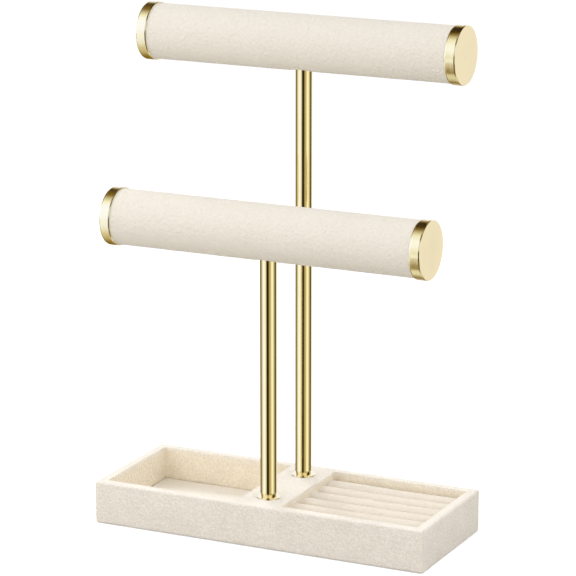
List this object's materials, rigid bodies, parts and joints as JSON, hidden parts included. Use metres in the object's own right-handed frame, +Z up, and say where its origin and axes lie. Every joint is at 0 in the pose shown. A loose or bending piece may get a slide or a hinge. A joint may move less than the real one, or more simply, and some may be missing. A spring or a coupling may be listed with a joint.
{
  "type": "bracelet holder",
  "caption": "Free-standing jewellery stand: velvet cross bars with gold caps that swivel on gold posts above a shallow velvet tray with an open compartment and soft ring rolls.",
  "frame": {"origin": "on the resting surface, under the middle of the tray", "axes": "+X along the bars to the ring side, -Y to the front where the lower bar is, +Z up"},
  "size_m": [0.215, 0.086, 0.3085],
  "materials": {
    "velvet": "cream short-pile velvet",
    "gold": "polished pale gold plating",
    "mdf": "raw fibreboard",
    "card": "grey-brown board",
    "foam_pad": "matt closed-cell foam",
    "steel": "zinc plated"
  },
  "bodies": {
    "stand": {"base_pad": "foam_pad", "floor_board": "mdf", "front_wall_board": "mdf", "back_wall_board": "mdf", "left_wall_board": "mdf", "right_wall_board": "mdf", "post_block": "mdf", "tray_wrap": "velvet", "trinket_liner": "velvet", "ring_card": "card", "ring_roll_1": "velvet", "ring_roll_2": "velvet", "ring_roll_3": "velvet", "ring_roll_4": "velvet", "ring_roll_5": "velvet", "ring_roll_6": "velvet", "front_post": "gold", "rear_post": "gold", "front_post_flange": "gold", "rear_post_flange": "gold", "front_post_stud": "steel", "rear_post_stud": "steel", "post_foot_plugs": "steel", "post_foot_washers": "steel", "post_foot_screws": "steel"},
    "upper_bar": {"upper_bar_core": "card", "upper_bar_wrap": "velvet", "upper_saddle_block": "mdf", "upper_saddle_bush": "steel", "upper_left_cap": "gold", "upper_right_cap": "gold"},
    "lower_bar": {"lower_bar_core": "card", "lower_bar_wrap": "velvet", "lower_saddle_block": "mdf", "lower_saddle_bush": "steel", "lower_left_cap": "gold", "lower_right_cap": "gold"}
  },
  "joints": [
    {"name": "upper_bar_swivel", "type": "hinge", "parent": "stand", "child": "upper_bar", "pos_m": [0, 0.024, 0.291], "axis": [0, 0, 1], "range_deg": [-90, 90]},
    {"name": "lower_bar_swivel", "type": "hinge", "parent": "stand", "child": "lower_bar", "pos_m": [0, -0.024, 0.187], "axis": [0, 0, 1], "range_deg": [-60, 60]}
  ]
}
